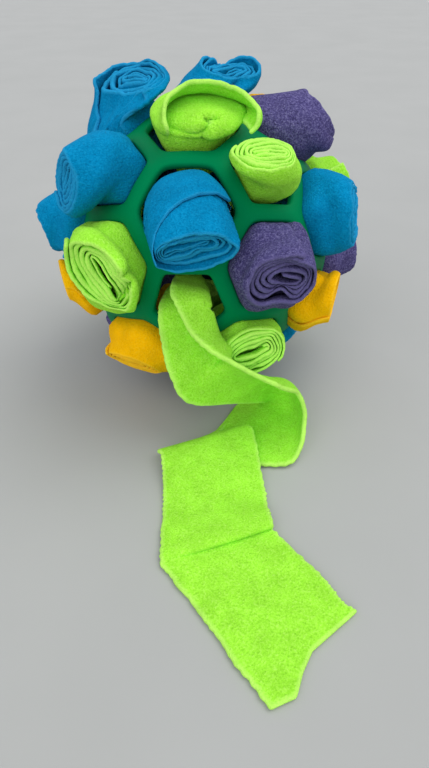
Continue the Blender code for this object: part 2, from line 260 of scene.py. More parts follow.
def footballPoints():
    # An icosahedron has a pole at each end and two rings of five. Cut a third off each edge at
    # both ends: its corners become five-sided faces and its triangles six-sided ones.
    ring = np.radians(72 * np.arange(5))
    flat, rise = 2 / math.sqrt(5), 1 / math.sqrt(5)
    upper = np.column_stack((flat * np.cos(ring), flat * np.sin(ring), np.full(5, rise)))
    corners = np.vstack(((0, 0, 1), upper, -upper, (0, 0, -1)))
    corners = corners @ np.array(Euler([math.radians(d) for d in ballShape["turn"]]).to_matrix()).T
    neighbourCosine = 0.4  # under the 0.447 between two corners that share an edge
    near = (corners @ corners.T > neighbourCosine) & ~np.eye(12, dtype=bool)
    first, second = np.nonzero(near)
    cuts = unit(2 * corners[first] + corners[second])
    triples = [
        (i, j, k) for i in range(12) for j in range(i) for k in range(j)
        if near[i, j] and near[j, k] and near[i, k]]
    sixSided = unit(np.array([corners[list(t)].sum(axis=0) for t in triples]))
    return corners, sixSided, cuts


def holeFrames():
    # for each hole: its axis, two directions across it, its number of sides, and its face's corners
    fiveSided, sixSided, cuts = footballPoints()
    holes = []
    for axis, sides in [(a, 5) for a in fiveSided] + [(a, 6) for a in sixSided]:
        corners = cuts[np.argsort(-(cuts @ axis))[:sides]]
        start = unit(corners[0] - axis * (corners[0] @ axis))
        turned = np.cross(axis, start)
        corners = corners[np.argsort(np.arctan2(corners @ turned, corners @ start))]
        sideMiddle = corners[0] + corners[1]
        right = unit(sideMiddle - axis * (sideMiddle @ axis))
        # how far the side's middle is from the axis, as a share of the radius
        apothem = np.linalg.norm(sideMiddle / 2 - axis * (axis @ sideMiddle) / 2)
        depth = axis @ corners[0]
        inner = ballShape["radius"] * apothem - ballShape["ribWidth"] / 2
        holes.append({
            "axis": axis, "right": right, "up": np.cross(axis, right), "sides": sides, "corners": corners,
            "inner": inner, "opening": inner / (ballShape["radius"] * depth)})
    return holes


def holeOutline(hole, angle):
    # tangent of the angle from the axis to the hole's edge: a polygon with rounded corners, as a
    # p-norm of the distances to its sides
    sides = 2 * math.pi * np.arange(hole["sides"]) / hole["sides"]
    p = ballShape["cornerSharpness"]
    reach = np.maximum(np.cos(np.asarray(angle)[..., None] - sides), 0) ** p
    return hole["opening"] / reach.sum(axis=-1) ** (1 / p)


def ribPatch(hole):
    # One hole's share of the ribs. Around: points along the face's sides, closer together near its
    # corners. Across: from the rib's middle over its rounded edge, down the wall and back underneath.
    steps = np.arange(ballShape["stepsPerSide"]) / ballShape["stepsPerSide"]
    even = ballShape["evenShare"]
    shares = even * steps + (1 - even) * (0.5 - 0.5 * np.cos(math.pi * steps))
    start = hole["corners"][:, None, :]
    end = np.roll(hole["corners"], -1, axis=0)[:, None, :]
    rim = unit(start + (end - start) * shares[None, :, None]).reshape(-1, 3)
    angle = np.arctan2(rim @ hole["up"], rim @ hole["right"])
    holeEdge = np.arctan(holeOutline(hole, angle))
    width = (np.arccos(rim @ hole["axis"]) - holeEdge)[:, None] * ballShape["radius"]
    rounding, crown, wall = ballShape["edgeRound"], ballShape["crown"], ballShape["wall"]
    acrossSteps, roundSteps = ballShape["acrossSteps"], ballShape["roundSteps"]
    over = np.linspace(1, 0, acrossSteps)[None, :]
    turn = np.linspace(0, math.pi / 2, roundSteps + 1)[None, 1:]
    across = np.hstack((
        rounding + (width - rounding) * over,
        np.broadcast_to(rounding * (1 - np.sin(turn)), (len(rim), roundSteps)),
        np.zeros((len(rim), 1)),
        np.broadcast_to(rounding * (1 - np.cos(turn)), (len(rim), roundSteps)),
        rounding + (width - rounding) * over[:, -2::-1]))
    depth = np.hstack((
        crown * (1 - over) ** 2,
        crown + rounding * (1 - np.cos(turn)),
        np.full((1, 1), wall - rounding),
        wall - rounding + rounding * np.sin(turn),
        np.full((1, acrossSteps - 1), wall)))
    across, depth = np.broadcast_arrays(across, depth)
    tilt = holeEdge[:, None] + across / ballShape["radius"]
    flat = np.cos(angle)[:, None, None] * hole["right"] + np.sin(angle)[:, None, None] * hole["up"]
    heading = np.cos(tilt)[..., None] * hole["axis"] + np.sin(tilt)[..., None] * flat
    heading[:, 0] = heading[:, -1] = rim
    return heading * (ballShape["radius"] - depth)[..., None]


def latticeBall(holes):
    # the holes' shares of the ribs, joined along the ribs' middles
    points, quads, count = [], [], 0
    for hole in holes:
        patch = ribPatch(hole)
        rows, columns = patch.shape[:2]
        quads.append(gridFaces(rows, columns, count, around=True))
        points.append(patch.reshape(-1, 3))
        count += rows * columns
    piece = addPiece("rubber_ball", np.vstack(points), np.vstack(quads), "green_rubber", "lattice_ball")
    bm = bmesh.new()
    bm.from_mesh(piece.data)
    bmesh.ops.remove_doubles(bm, verts=bm.verts, dist=ballShape["weld"] * mm)
    bmesh.ops.recalc_face_normals(bm, faces=bm.faces)
    bm.to_mesh(piece.data)
    bm.free()
    piece.data.shade_smooth()
    return piece


holes = holeFrames()
latticeBall(holes)
print("ball made")


# Where on the quarter circle the rows past an edge lie, in degrees, and how much painted edge
# highlight the last row before it gets
clothEdge = {"turns": (38, 74), "highlightLastRow": 0.6}


def closedCloth(name, middle, thickness, slot, node):
    # A sheet with two faces half its thickness off the middle surface and all four edges round:
    # past each edge two more rows narrow it along a quarter circle.
    turn = np.radians(clothEdge["turns"])
    normal = unit(np.cross(np.gradient(middle, axis=0), np.gradient(middle, axis=1)))
    half = thickness / 2
    edge = np.zeros(middle.shape[:2])
    for axis in (0, 1):
        middle, normal, half, edge = (np.moveaxis(v, axis, 0) for v in (middle, normal, half, edge))
        out = [unit(middle[0] - middle[1]), unit(middle[-1] - middle[-2])]
        rows = [(0, turn[::-1]), (-1, turn)]
        extra = [[middle[i] + out[i] * half[i][:, None] * math.sin(t) for t in ts] for i, ts in rows]
        middle = np.concatenate((extra[0], middle, extra[1]))
        normal = np.concatenate((normal[:1], normal[:1], normal, normal[-1:], normal[-1:]))
        thin = [[half[i] * math.cos(t) for t in ts] for i, ts in rows]
        half = np.concatenate((thin[0], half, thin[1]))
        # painted highlight: full on the rows past each edge, and the given share on the last row before it
        fullHighlight = np.ones((2, edge.shape[1]))
        edge[[0, -1]] = np.maximum(edge[[0, -1]], clothEdge["highlightLastRow"])
        edge = np.concatenate((fullHighlight, edge, fullHighlight))
        middle, normal, half, edge = (np.moveaxis(v, 0, axis) for v in (middle, normal, half, edge))
    front, back = middle + normal * half[..., None], middle - normal * half[..., None]
    rows, columns = half.shape
    count = rows * columns
    index = np.arange(count).reshape(rows, columns)
    loop = np.concatenate((index[:-1, 0], index[-1, :-1], index[:0:-1, -1], index[0, :0:-1]))
    after = np.roll(loop, -1)
    quads = np.vstack((
        gridFaces(rows, columns), gridFaces(rows, columns, count)[:, ::-1],
        np.column_stack((after, loop, loop + count, after + count))))
    points = np.concatenate((front.reshape(-1, 3), back.reshape(-1, 3)))
    return addPiece(name, points, quads, slot, node, np.concatenate((edge, edge)))


# One roll is one strip of fleece, wound up. Angles in degrees, sizes in mm, shares of the radius.
# Its place: "at" is where the middle of the mouth is: azimuth, elevation and distance from the ball's
# centre; "face" is where it looks. "radii" are the mouth's, and "slope" the turn of the longer one.
# "lobes" are their number and share, "belly" how much wider the roll is halfway to its hole. "neck" is
# how much slimmer the roll is in its hole than the hole, and where it is held there: to the right and
# up. "fillsHole" is how far it widens to fill the hole, from 0 to 1.
# Its turns: "turns" is their number, "innerRadius" the last one's share, "spin" the place of the outer
# flap. "flat" presses them into long loops: a share and a direction. "eye" shifts the innermost turn
# and "warp" waves them all. "pushes" move the turns near a point of the mouth: the point, the move
# and the width; "hollows" spread them from a point: the point, how much and the width. The waves,
# pushes and hollows fade over "bendReach" down the roll.
# Its cloth: "cloth" is its thickness, "fill" the most that it takes of the gap between turns, and
# "rimCloth" how many times thicker the outer turns are. "flap" is the slanted cut of the outer end:
# depths and shifts along the strip. "creep" is the unevenness of the side, as a share. "folds" are
# troughs, or ridges if less than 0, down the side: angle, distance from the mouth, direction, length,
# depth and width.
# Its mouth: "dish" is how far the middle stands out, "edgeWave" the height of the edge's waves.
# "dents" lower it near a line: its two ends, width and mm. "sunk" lowers the turns past a number of
# turns by some mm. "rim" is how high the outer turns stand: how many, and angles with mm. "lipped" is
# how far the top edge is drawn in: a share and a depth. "tuck" folds the top of some turns in over
# the middle: the first and last turn, how far down, the dome's middle and its rise.
# Past the last turn, "tuck" and "sunk" do nothing.
rollShape = {
    "width": 51, "cloth": 2.8, "turns": 5.4, "innerRadius": 0.02, "fill": 0.8, "columns": 250, "rows": 21,
    "edgeWave": 0.7, "flap": ((0, 0), (30, 7.5)), "warp": 0.035, "flat": (0.3, 20), "eye": (0, 0),
    "pushes": (), "hollows": (), "bendReach": 22, "folds": (), "dents": (), "sunk": (9, 0),
    "rim": (0, ((0, 0),)), "rimCloth": 1.0, "tuck": (8, 9, 0, (0, 0), 0), "lipped": (0.06, 2.5),
    "belly": 1.0, "lobes": (2, 0.03), "slope": 0, "dish": -2, "creep": 0.018, "fillsHole": 1,
    "neck": (0, 0, 0)}
backShape = {"columns": 130, "rows": 14}

rolls = {
    "front": {
        "colour": "blue", "at": (0, 19.3, 98.5), "face": (12, -32), "radii": (21.5, 15.5), "slope": 12,
        "spin": 19, "dish": -3, "flat": (0.5, 12), "eye": (-0.3, 0), "belly": 0.5, "fillsHole": 0.15,
        "neck": (1.3, 0.8, -1.3), "sunk": (0.85, 3.5),
        "flap": ((0, 0), (4, -3), (11, -15), (16.5, -29), (20, -40), (23, -53)),
        "pushes": (((0.12, -0.25), (-0.05, 0.2), 0.22), ((0.85, 0.1), (0.1, 0.05), 0.2)),
        "hollows": (((0.42, 0.08), 0.1, 0.2),)},
    "top": {
        "colour": "lime", "at": (7, 64.3, 87), "face": (5, 50), "radii": (26.5, 20), "belly": 0,
        "dish": 0, "lobes": (3, 0.05), "flat": (0.15, 0), "spin": -26, "flap": ((0, 0), (30, 0)),
        "tuck": (0.66, 2.3, 14, (0.02, -0.2), 3), "sunk": (1.6, 15), "rimCloth": 2.1, "creep": 0.006,
        "rim": (0.66, (
            (-75, -13), (-26, -5), (0, 1), (50, 2.5), (110, 3), (160, 2), (198, 0), (215, -10))),
        "dents": (((0.16, -0.08), (0.0, -0.12), 0.09, 4), ((0.0, -0.12), (-0.04, -0.8), 0.09, 4.5)),
        "fillsHole": 0.5, "neck": (0.5, 1.8, 0)},
    "right_shoulder": {
        "colour": "lime", "at": (29, 46.3, 92), "face": (4, 74), "radii": (17, 15.5), "spin": 150,
        "dish": 1, "lobes": (2, 0.02), "flat": (0.45, -8), "eye": (0.2, 0.05), "fillsHole": 0.4},
    "lower_right": {
        "colour": "purple", "at": (24.6, 9.5, 97), "face": (12, -9), "radii": (19.8, 18), "slope": 10,
        "spin": 60, "lobes": (2, 0.04), "dish": -3, "flat": (0.3, -20), "eye": (0.15, 0.05),
        "sunk": (0.85, 1.5), "pushes": (((0, -0.62), (0.03, 0.4), 0.3),),
        "hollows": (((0.4, 0.15), 0.14, 0.25),)},
    "lower_left": {
        "colour": "lime", "at": (-31, 10.5, 96), "face": (-32, -6), "radii": (23, 20.5), "slope": -48,
        "spin": 150, "sunk": (0.85, 2.5), "lobes": (2, 0.04), "flat": (0.5, -55), "eye": (0.1, -0.15),
        "belly": 3, "folds": ((17, 4, 80, 26, 6, 2.4),),
        "dents": (((0.36, -0.54), (0.95, 0.24), 0.07, 7),),
        "hollows": (((-0.45, 0.5), 0.1, 0.22), ((0.62, -0.62), 0.12, 0.15))},
    "left_shoulder": {
        "colour": "blue", "at": (-51, 32.5, 99.5), "face": (-58, 9), "radii": (20.5, 18.5), "slope": 80,
        "spin": 215, "dish": -3, "lobes": (2, 0.0), "flat": (0.4, 60), "belly": 2, "lipped": (0.22, 7)},
    "top_left": {
        "colour": "blue", "at": (-114.8, 62.4, 94), "face": (-50, 64), "radii": (27, 20), "slope": 10,
        "spin": -20, "dish": -1, "lobes": (3, 0.03), "warp": 0.05, "eye": (0.1, 0.25),
        "flat": (0.3, 10), "belly": 5, "flap": ((0, 0), (30, 0)),
        "rim": (1.0, (
            (0, 0), (90, 0), (180, 3), (215, 4), (235, -4), (262, -14), (290, -22), (300, -22),
            (315, -8), (330, 0))),
        "folds": ((-75, 14, 90, 40, 6, 3), (-45, 14, 90, 40, 4, 3), (-108, 14, 90, 40, 5, 3))},
    "top_back": {
        "colour": "blue", "at": (158, 62, 98), "face": (30, 70), "radii": (22.5, 17), "slope": -10,
        "spin": 90, "dish": 0, "lobes": (2, 0.04), "warp": 0.04, "sunk": (0.9, 2.5),
        "pushes": (((0.05, -0.95), (0, 0.35), 0.3), ((-0.05, 0.95), (0, -0.25), 0.3)), "bendReach": 40,
        "rimCloth": 1.9, "lipped": (0.14, 5), "neck": (1, -4, 0),
        "rim": (1.0, (
            (-140, 0), (-90, -3), (-40, 0), (0, 1), (50, 1), (75, -3), (95, -3), (120, 1), (150, 1),
            (180, 1)))},
    "top_right": {
        "colour": "purple", "at": (98, 46.5, 92), "face": (108, 32), "radii": (24, 21), "spin": 0,
        "belly": 2, "dish": 3, "lobes": (2, 0.02), "lipped": (0.25, 7), "edgeWave": 0.3,
        "neck": (0, -1, -4),
        "rim": (1.0, ((-46, 1), (44, 2.5), (100, 0), (134, -3), (190, -4), (238, 0)))},
    "right": {
        "colour": "blue", "at": (69, 18, 90), "face": (74, 8), "radii": (24, 19), "slope": 90,
        "spin": 30, "dish": 3, "lobes": (3, 0.03), "lipped": (0.25, 6)},
    "left": {
        "colour": "blue", "at": (-82, 9, 91), "face": (-84, -12), "radii": (18, 16.5), "slope": 90,
        "spin": 200, "lipped": (0.15, 4)},
    "low_front_right": {
        "colour": "lime", "at": (19, -17.5, 90), "face": (10, 8), "radii": (19.5, 16), "slope": 20,
        "spin": 330, "dish": 0, "lobes": (2, 0.02), "flat": (0.5, 22)},
    "low_front_left": {
        "colour": "yellow", "at": (-30.5, -30.8, 88), "face": (-26, -38), "radii": (19, 16),
        "spin": 170, "belly": 2, "edgeWave": 0.2, "warp": 0.01, "dish": 0, "creep": 0.008},
    "low_left": {
        "colour": "yellow", "at": (-69, -8, 86), "face": (-70, -4), "radii": (15.5, 15), "spin": 10,
        "edgeWave": 0.1, "warp": 0.01, "dish": -4, "creep": 0.004, "rim": (1.0, ((0, 1.5),)),
        "lipped": (0.12, 4), "neck": (2.5, 0, 3), "fillsHole": 0.4},
    "low_right": {
        "colour": "yellow", "at": (58, -8.8, 88), "face": (72, -4), "radii": (16.5, 16.5), "spin": 210,
        "dish": -1, "lobes": (2, 0.0), "edgeWave": 0.15, "warp": 0.01, "creep": 0.008,
        "rim": (1.0, ((0, 1),)), "lipped": (0.08, 3)},
    "right_back": {
        "colour": "purple", "at": (100, -9, 94), "face": (100, -11), "radii": (18, 18), "spin": 75,
        "lobes": (2, 0.04)},
    "back_right_shoulder": {
        "colour": "lime", "at": (112, 17, 95), "face": (112, 18), "radii": (15.5, 15), "spin": 130,
        "dish": -1, "lobes": (2, 0.02)},
    "back_top_right": {
        "colour": "yellow", "at": (149, 36, 99), "face": (150, 40), "radii": (18, 17), "spin": 240,
        "lobes": (2, 0.04)},
    "back_top_left": {
        "colour": "purple", "at": (-159, 31, 95), "face": (-160, 28), "radii": (18, 17.5), "spin": 15,
        "lobes": (2, 0.04), **backShape},
}

# plain rolls where the photograph shows none: colour, at, face, radii and spin
plainRolls = {
    "back_left_shoulder": ("lime", (-121, 15, 94), (-122, 12), (15.5, 15), 100),
    "back": ("blue", (175, 3, 94), (175, 0), (15.5, 15), 190),
    "back_right": ("blue", (139, -8, 95), (140, -10), (18, 17.5), 280),
    "back_left": ("lime", (-149, -10, 95), (-149, -12), (18, 17), 320),
    "low_back_left": ("blue", (-107, -19, 94), (-108, -20), (18, 17), 50),
    "low_back_right": ("lime", (126, -43, 92), (126, -40), (15, 15), 160),
    "low_back": ("purple", (174, -35, 94), (174, -34), (18, 17), 230),
    "low_back_far_left": ("yellow", (-139, -46, 92), (-139, -42), (15, 15), 340),
    "under_left": ("purple", (-83, -55, 81), (-83, -56), (13.5, 13.5), 70),
    "under_right": ("blue", (79, -51, 81), (79, -52), (13.5, 13.5), 110),
    "under_front": ("purple", (0, -66, 94), (0, -66), (15, 15), 140),
    "under": ("lime", (166, -76, 91), (166, -80), (18, 17), 260),
}
for place, (colour, at, face, radii, spin) in plainRolls.items():
    rolls[place] = {"colour": colour, "at": at, "face": face, "radii": radii, "spin": spin, **backShape}

# How a roll sits in its hole, in mm and mostly at distances from the ball's centre. "play" is its
# radius over the hole's cone, "slackFrom" where a slimmer neck begins, "ribPlay" the room left to the
# ribs, "grip" where the hole takes hold, and "narrowed" and "widened" where it lets go. "overRibs" is
# where the cloth lies on the ribs, "outwardRise" and "innerRise" how much higher towards the mouth
# and for the inner turns, and "tableRise" how much for each mm down the roll on the table.
rollSqueeze = {
    "distance": (14, 59, 66, 76), "play": (0, -2, -0.5, -0.5), "slackFrom": 45, "ribPlay": 1.5,
    "widest": 1.5, "leastShare": 0.05, "grip": (58, 68), "narrowed": (76, 81), "widened": (76, 88),
    "overRibs": 76.2, "outwardRise": 9, "riseFrom": 0.32, "innerRise": 5, "tableRise": 0.1}
pathSteps = 50
fullWidthShare = 0.5  # of the way from the hole to the mouth


def rollPath(roll, hole):
    # The middle line of a roll from its mouth inwards: a Hermite curve back to the hole, then a
    # straight run along the hole's axis. Its radii swell from the hole to the mouth.
    axis, face = hole["axis"], aim(*roll["face"])
    tip = aim(*roll["at"][:2]) * roll["at"][2]
    squeeze = hole["inner"] / ballShape["radius"]
    neckDistance = rollSqueeze["distance"][-1]
    slack, right, up = roll["neck"]
    neck = squeeze * neckDistance + rollSqueeze["play"][-1] - slack
    across = unit(np.cross((0, 0, 1), axis))
    shift = across * right + np.cross(axis, across) * up
    start = axis * neckDistance + shift
    pull = np.linalg.norm(tip - start)
    t = np.linspace(1, 0, pathSteps)
    u = t[:, None]
    outside = (
        start * (2 * u**3 - 3 * u**2 + 1) + axis * pull * (u**3 - 2 * u**2 + u)
        + tip * (3 * u**2 - 2 * u**3) + face * pull * (u**3 - u**2))
    distance = np.linspace(neckDistance, rollSqueeze["distance"][0], pathSteps)[1:]
    near = ramp(distance, rollSqueeze["slackFrom"], neckDistance)
    inside = axis * distance[:, None] + shift * near[:, None]
    swell = np.sin(math.pi / 2 * np.minimum(1, t / fullWidthShare))
    belly = roll["belly"] * np.sin(math.pi * t)
    play = np.interp(distance, rollSqueeze["distance"], rollSqueeze["play"])
    taper = squeeze * distance + play - slack * near
    centre = np.vstack((outside, inside))
    return {
        "centre": centre,
        "depth": np.append(0, np.cumsum(np.linalg.norm(np.diff(centre, axis=0), axis=1))),
        "normal": np.vstack((unit(axis + (face - axis) * u), np.broadcast_to(axis, inside.shape))),
        "long": np.append(neck + (roll["radii"][0] - neck) * swell + belly, taper),
        "short": np.append(neck + (roll["radii"][1] - neck) * swell + belly, taper),
        "share": np.append(t, np.zeros(len(distance)))}


# The winding seen end on. "loopEnd" is how round the pressed loops' ends are, "waveSize" the length
# of the turns' waves as a share of the radius, and the seeds those of the waves across and along.
winding = {"stepsPerTurn": 240, "loopEnd": 0.3, "waveSize": 0.8, "waveSeeds": (0, 50)}


def windingCurve(roll, seed):
    # The strip's edge seen end on, in a disc of radius 1, from the outer flap inwards: a spiral
    # whose radius falls evenly, drawn out along one direction towards its middle, with its eye
    # shifted. The second curve has its waves, pushes and hollows too. Also how far apart its turns are.
    steps = winding["stepsPerTurn"]
    turn = np.arange(round(roll["turns"] * steps)) / steps
    radius = 1 - (1 - roll["innerRadius"]) * turn / roll["turns"]
    share, direction = roll["flat"][0], math.radians(roll["flat"][1])
    angle = math.radians(roll["spin"]) + 2 * math.pi * turn - direction
    x = share * (1 - radius) * np.tanh(np.cos(angle) / winding["loopEnd"]) + radius * np.cos(angle)
    y = radius * np.sin(angle)
    place = np.column_stack((
        x * math.cos(direction) - y * math.sin(direction),
        x * math.sin(direction) + y * math.cos(direction)))
    place = place + np.array(roll["eye"]) * np.maximum(0, 1 - (place**2).sum(axis=1))[:, None]
    room = np.maximum(0, 1 - (place**2).sum(axis=1) ** 2) * roll["warp"]
    wave = np.column_stack([
        ripples(place[:, 0], place[:, 1], winding["waveSize"], seed + n) for n in winding["waveSeeds"]])
    wavy = place + room[:, None] * wave
    for middle, push, width in roll["pushes"]:
        near = np.exp(-((wavy - middle) ** 2).sum(axis=1) / width**2)
        wavy = wavy + np.array(push) * near[:, None]
    for middle, amount, width in roll["hollows"]:
        away = wavy - middle
        wavy = wavy + away * (amount / width * np.exp(-(away**2).sum(axis=1) / width**2))[:, None]
    run = unit(np.gradient(wavy, axis=0))
    away = wavy[:-steps] - wavy[steps:]
    gap = np.abs(away[:, 0] * run[:-steps, 1] - away[:, 1] * run[:-steps, 0])
    gap = np.minimum(np.append(gap, np.full(steps, gap[-1])), np.append(np.full(steps, gap[0]), gap))
    return place, wavy - place, turn, gap


def sideFolds(roll, radius, angle, down, meanRadius):
    # troughs with a bell-shaped section along straight lines drawn on the unrolled side
    for middle, depthDown, direction, span, depth, width in roll["folds"]:
        around = (np.mod(angle - math.radians(middle) + math.pi, 2 * math.pi) - math.pi) * meanRadius
        run, rise = math.cos(math.radians(direction)), math.sin(math.radians(direction))
        along = around * run + (down - depthDown) * rise
        off = (down - depthDown) * run - around * rise
        trough = depth * np.exp(-(off / width) ** 2 - (2 * along / span) ** 4)
        radius = radius * (1 - trough / meanRadius * radius)
    return radius


def mouthDents(roll, x, y):
    # troughs with a bell-shaped section along short lines across the mouth, in mm
    total = np.zeros(x.shape)
    for start, end, width, depth in roll["dents"]:
        first, line = np.array(start), np.array(end) - start
        share = np.clip(((x - first[0]) * line[0] + (y - first[1]) * line[1]) / (line @ line), 0, 1)
        off = np.hypot(x - first[0] - share * line[0], y - first[1] - share * line[1])
        total += depth * np.exp(-((off / width) ** 2))
    return total


# What all rolls' cloth shares. "crowding" draws the rows towards the mouth; "uneven" is between which
# shares of the radius the creep grows, and its waves are a length, a share and a seed. The mouth's
# waves are a length and a height. The blends are in turns, "dentReach" and "thinLength" in mm.
# "thinEnd" is the thickness left at the strip's inner end.
rollCloth = {
    "crowding": 1.5, "uneven": (0.3, 0.9), "creepWaves": ((16, 1, 90), (5, 0.3, 91)),
    "mouthWaves": ((34, 1), (12, 0.5), (4, 0.3)), "mouthSeed": 7, "sinkBlend": 0.5, "rimBlend": 0.2,
    "dentReach": 8, "thinEnd": 0.75, "thinLength": 12}
# The dome of turns tucked in: the blend in turns, how far they are drawn in and how suddenly, the
# bulge before that, how soon the dome's own height holds, its roundness, and how calm its edge is
dome = {"blend": 0.08, "drawn": 0.93, "power": 1.2, "bulge": 0.25, "onset": 4, "round": 1.8, "calm": 0.9}


def tuckIn(roll, turn, down, radius, angle):
    # the top of some turns is drawn in over the middle: all the way at the edge, less and less down
    # to the reach, with a bulge between
    first, last, reach, lean, _ = roll["tuck"]
    tucked = ramp(turn, first, first + dome["blend"]) * (1 - ramp(turn, last - dome["blend"], last))
    over = np.maximum(0, 1 - down / max(reach, 1)) * tucked
    kept = 1 - dome["drawn"] * over ** dome["power"] + dome["bulge"] * np.sqrt(over) * (1 - over)
    x = lean[0] + (radius * np.cos(angle) - lean[0]) * kept
    y = lean[1] + (radius * np.sin(angle) - lean[1]) * kept
    return x, y, tucked, over, kept


def outerTurns(roll, turn):
    # 1 on the turns that the rim counts, 0 past them
    rimTurns = roll["rim"][0]
    return 1 - ramp(turn, rimTurns, rimTurns + rollCloth["rimBlend"])


def squeezeInHole(roll, hole, points, radius, angle, inset):
    # Each point keeps its direction from the hole's axis. In the hole its distance from the axis is
    # the hole's rounded outline there by its share of the outermost turn, and this fades outside.
    forward = points @ hole["axis"]
    lateral = points - hole["axis"] * forward[..., None]
    spread = np.linalg.norm(lateral, axis=-1)
    heading = np.arctan2(lateral @ hole["up"], lateral @ hole["right"])
    pastFlap = np.mod(angle - math.radians(roll["spin"]), 2 * math.pi) / (2 * math.pi)
    outermost = (1 - pastFlap / roll["turns"]) * inset
    turnShare = np.clip(radius / outermost, rollSqueeze["leastShare"], 1)
    room = (holeOutline(hole, heading) * forward - rollSqueeze["ribPlay"]) * turnShare
    distance = np.linalg.norm(points, axis=-1)
    fit = np.clip(room / np.maximum(spread, 1e-6), 0, rollSqueeze["widest"]) - 1
    inHole = ramp(distance, *rollSqueeze["grip"])
    scale = 1 + inHole * np.minimum(fit, 0) * (1 - ramp(distance, *rollSqueeze["narrowed"]))
    widening = inHole * np.maximum(fit, 0) * (1 - ramp(distance, *rollSqueeze["widened"]))
    scale = scale + widening * roll["fillsHole"]
    return hole["axis"] * forward[..., None] + lateral * scale[..., None], scale


def fleeceRoll(place, row, seed):
    # one strip: wound on its curve, shaped at its mouth, laid along its path and squeezed in its hole
    roll = {**rollShape, **row}
    mouth = aim(*roll["at"][:2])
    hole = max(holes, key=lambda h: h["axis"] @ mouth)
    path = rollPath(roll, hole)
    meanRadius = sum(roll["radii"]) / 2
    curve, bent, turnAt, gapAt = windingCurve(roll, seed)
    arc = np.append(0, np.cumsum(np.linalg.norm(np.diff(curve, axis=0), axis=1))) * meanRadius

    # the cloth: along its length from the flap's end, and down from the mouth
    flapDepths, flapShifts = zip(*roll["flap"])
    length = arc[-1] - (max(flapShifts) - min(flapShifts))
    rowDepths = roll["width"] * np.linspace(0, 1, roll["rows"]) ** rollCloth["crowding"]
    run, down = np.meshgrid(np.linspace(0, length, roll["columns"]), rowDepths, indexing="ij")
    wound = run + np.interp(down, flapDepths, flapShifts) - min(flapShifts)
    bend = np.exp(-((down / roll["bendReach"]) ** 2))
    x = np.interp(wound, arc, curve[:, 0]) + bend * np.interp(wound, arc, bent[:, 0])
    y = np.interp(wound, arc, curve[:, 1]) + bend * np.interp(wound, arc, bent[:, 1])
    turn, gap = np.interp(wound, arc, turnAt), np.interp(wound, arc, gapAt)
    inset = 1 - roll["cloth"] / 2 / meanRadius
    radius, angle = np.hypot(x, y) * inset, np.arctan2(y, x)
    radius = sideFolds(roll, radius, angle, down, meanRadius)
    radius = radius * (1 + roll["lobes"][1] * np.cos(roll["lobes"][0] * angle))
    outer = ramp(radius, *rollCloth["uneven"])
    for size, share, number in rollCloth["creepWaves"]:
        creep = share * roll["creep"] * ripples(angle * meanRadius, down, size, seed + number) * outer
        radius = radius * (1 + creep)
    radius = radius * (1 - roll["lipped"][0] * np.exp(-down / roll["lipped"][1]) * radius)
    x, y, tucked, over, kept = tuckIn(roll, turn, down, radius, angle)
    radius, angle = np.hypot(x, y), np.arctan2(y, x)

    # how far each turn's edge is sunk into the mouth, less the height of the outer turns; the dome
    # has a height of its own
    sinkStart, sinkDepth = roll["sunk"]
    sunk = sinkDepth * ramp(turn, sinkStart, sinkStart + rollCloth["sinkBlend"])
    sunk = sunk - roll["dish"] * (1 - np.minimum(radius, 1) ** 2)
    waves = sum(
        size * ripples(wound, 0, pace, seed + rollCloth["mouthSeed"] + pace)
        for pace, size in rollCloth["mouthWaves"])
    sunk = sunk + roll["edgeWave"] * waves * (1 - dome["calm"] * over)
    outerShare = outerTurns(roll, turn)
    rim = np.interp(np.degrees(angle), *zip(*sorted(roll["rim"][1])), period=360) * outerShare
    dents = mouthDents(roll, x, y) * np.exp(-down / rollCloth["dentReach"] * (1 - tucked))
    sunk = sunk - rim + dents
    depth = down + sunk * (1 - down / roll["width"])
    domeDepth = roll["tuck"][2] * np.minimum(kept, 1) ** dome["round"]
    depth = depth + np.minimum(1, dome["onset"] * over) * (domeDepth - down) - roll["tuck"][4] * over

    # laid along the path, as an ellipse in the plane across it
    along, slope = path["depth"], math.radians(roll["slope"])
    at = np.maximum(depth, 0)
    centre = np.stack([np.interp(at, along, path["centre"][:, i]) for i in range(3)], axis=-1)
    normal = unit(np.stack([np.interp(at, along, path["normal"][:, i]) for i in range(3)], axis=-1))
    centre = centre - normal * np.minimum(depth, 0)[..., None]
    across = aim(roll["face"][0] + 90, 0)
    side = unit(across - normal * (normal @ across)[..., None])
    top = np.cross(normal, side)
    longWay = np.interp(at, along, path["long"]) * radius * np.cos(angle - slope)
    shortWay = np.interp(at, along, path["short"]) * radius * np.sin(angle - slope)
    points = (
        centre + side * (longWay * math.cos(slope) - shortWay * math.sin(slope))[..., None]
        + top * (longWay * math.sin(slope) + shortWay * math.cos(slope))[..., None])
    points, scale = squeezeInHole(roll, hole, points, radius, angle, inset)

    # outside the hole it lies over the ribs, the inner turns over the outer ones, and on the table
    share = np.interp(at, along, path["share"])
    rise = rollSqueeze["outwardRise"] * np.maximum(0, share - rollSqueeze["riseFrom"])
    floor = rollSqueeze["overRibs"] + rise + rollSqueeze["innerRise"] * (1 - np.minimum(radius, 1))
    floor = np.where(share > 0, floor, 0)
    points = points * np.maximum(1, floor / np.linalg.norm(points, axis=-1))[..., None]
    onTable = tableHeight + roll["cloth"] / 2 + rollSqueeze["tableRise"] * down
    points[..., 2] = np.maximum(points[..., 2], onTable)

    # the cloth is thinner where its turns are pressed together, and at its inner end
    squeezed = np.interp(at, along, path["short"]) / meanRadius * scale
    cloth = roll["cloth"] * (1 + (roll["rimCloth"] - 1) * outerShare)
    thickness = np.minimum(cloth, roll["fill"] * gap * meanRadius * squeezed)
    thin = rollCloth["thinEnd"]
    thickness = thickness * (thin + (1 - thin) * ramp(length - run, 0, rollCloth["thinLength"]))
    slot = roll["colour"] + "_fleece"
    piece = closedCloth("fleece_roll_" + place, points, thickness, slot, "roll_" + place)


